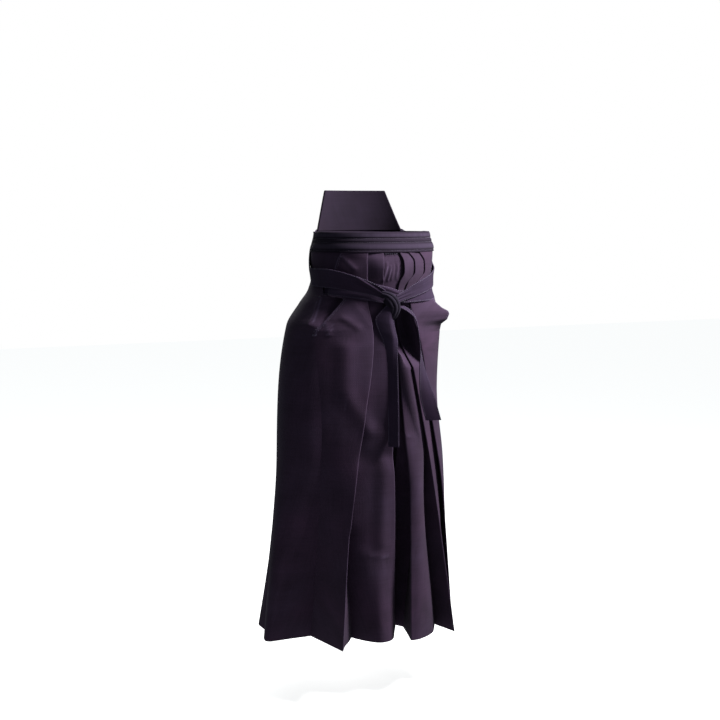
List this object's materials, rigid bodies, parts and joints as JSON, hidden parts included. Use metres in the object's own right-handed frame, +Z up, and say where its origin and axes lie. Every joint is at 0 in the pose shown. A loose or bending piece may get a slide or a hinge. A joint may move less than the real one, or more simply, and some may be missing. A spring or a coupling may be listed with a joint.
{
  "type": "hakama trousers",
  "caption": "Wide, pleated divided trousers worn at the waist, hollow inside, with a stiff back board, long waist ties and a front knot with two hanging ends.",
  "frame": {"origin": "middle of the waist, on the level of the front waistband's top edge", "axes": "+Z up, the front of the garment faces -Y, the wearer's left is +X"},
  "size_m": [0.445, 0.3384, 0.9684],
  "materials": {
    "cloth": "smooth dark brown-purple plain weave, soft sheen",
    "ties": "dark navy-purple folded strip, matt"
  },
  "bodies": {
    "root": {"front_right_hip": "cloth", "front_right_leg": "cloth", "front_left_hip": "cloth", "front_left_leg": "cloth", "back_right_hip": "cloth", "back_right_leg": "cloth", "back_left_hip": "cloth", "back_left_leg": "cloth", "gore_right": "cloth", "gore_left": "cloth", "gusset": "cloth", "waistband": "cloth", "back_band": "cloth", "back_board": "cloth", "front_tie_upper": "ties", "front_tie_low": "ties", "back_tie_right": "ties", "back_tie_left": "ties", "knot_wrap": "ties", "knot_core": "ties", "tail_long": "ties", "tail_short": "ties"}
  },
  "joints": []
}
